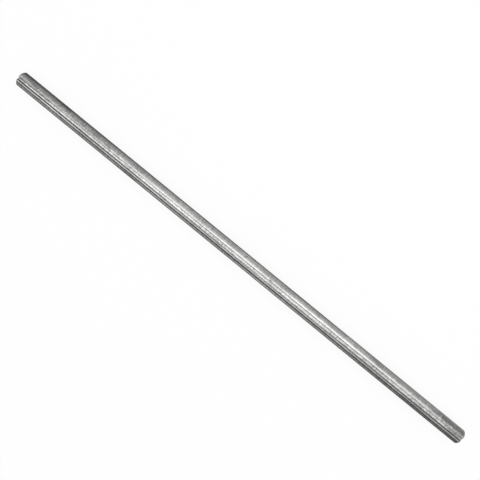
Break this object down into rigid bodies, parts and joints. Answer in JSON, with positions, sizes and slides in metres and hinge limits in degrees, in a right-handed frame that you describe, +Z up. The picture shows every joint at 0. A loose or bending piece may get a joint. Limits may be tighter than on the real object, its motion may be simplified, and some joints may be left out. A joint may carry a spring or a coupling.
{
  "type": "keyed shaft",
  "caption": "Straight round steel drive shaft with chamfered ends and a keyway for square keys milled along its full length.",
  "frame": {"origin": "on the bar's axis, half way along its length", "axes": "+X along the bar's axis, +Z up through the middle of the keyway, +Y across the keyway"},
  "size_m": [0.9144, 0.0254, 0.0249],
  "materials": {
    "steel": "bare carbon steel, ground and polished round the outside, as milled in the keyway"
  },
  "bodies": {
    "root": {"shaft": "steel"}
  },
  "joints": []
}
